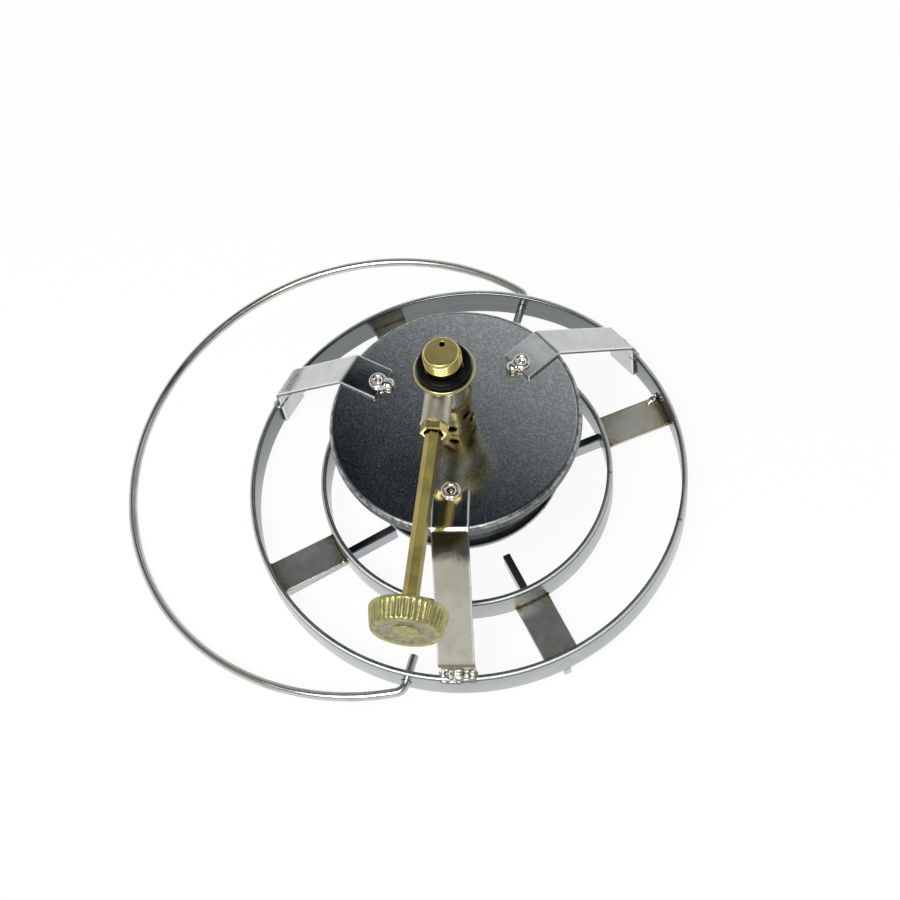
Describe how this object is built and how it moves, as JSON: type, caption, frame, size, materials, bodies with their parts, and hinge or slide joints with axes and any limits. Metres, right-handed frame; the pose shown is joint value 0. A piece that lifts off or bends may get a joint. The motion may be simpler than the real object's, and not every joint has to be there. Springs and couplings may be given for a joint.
{
  "type": "camping gas stove head",
  "caption": "Camping gas stove head: welded ring frame with pot rests, burner on bent hangers, threaded gas inlet, long-stemmed valve knob and a swinging wire bail.",
  "frame": {"origin": "on the burner's axis in the plane of the pot rests, which is the floor as the stove lies upside down", "axes": "+Z along the inlet thread, away from the pot; -Y along the valve stem towards the knob; +X to the right"},
  "size_m": [0.2636, 0.2373, 0.1275],
  "materials": {
    "plated_steel": "bright zinc plating",
    "strip_steel": "bright rolled strip",
    "dark_steel": "dark satin",
    "bowl_steel": "drawn sheet",
    "brass": "turned",
    "knob_brass": "turned and bright",
    "nickel": "satin nickel plating",
    "seal_rubber": "matt"
  },
  "bodies": {
    "frame": {"outer_ring": "plated_steel", "inner_ring": "plated_steel", "spoke_1": "strip_steel", "spoke_2": "strip_steel", "spoke_3": "strip_steel", "spoke_4": "strip_steel", "pot_rest_1": "plated_steel", "pot_rest_2": "plated_steel", "pot_rest_3": "plated_steel", "pot_rest_4": "plated_steel", "hanger_1": "strip_steel", "hanger_2": "strip_steel", "hanger_3": "strip_steel", "base_plate": "dark_steel", "burner_bowl": "bowl_steel", "burner_cap": "dark_steel", "mixing_tube": "brass", "tube_nut": "brass", "gas_jet": "brass", "valve_body": "nickel", "inlet_spigot": "brass", "inlet_seal": "seal_rubber", "gland_packing": "seal_rubber", "gland_nut": "brass"},
    "bail": {"bail_handle": "plated_steel"},
    "control": {"valve_spindle": "brass", "stem_rod": "knob_brass", "knob": "knob_brass"}
  },
  "joints": [
    {"name": "bail_swing", "type": "hinge", "parent": "frame", "child": "bail", "pos_m": [0, 0, 0.01325], "axis": [0.1564, 0.9877, 0], "range_deg": [-240, 85]},
    {"name": "knob_turn", "type": "hinge", "parent": "frame", "child": "control", "pos_m": [-0.0027, 0, 0.10325], "axis": [0, -1, 0], "range_deg": [0, 540]}
  ]
}
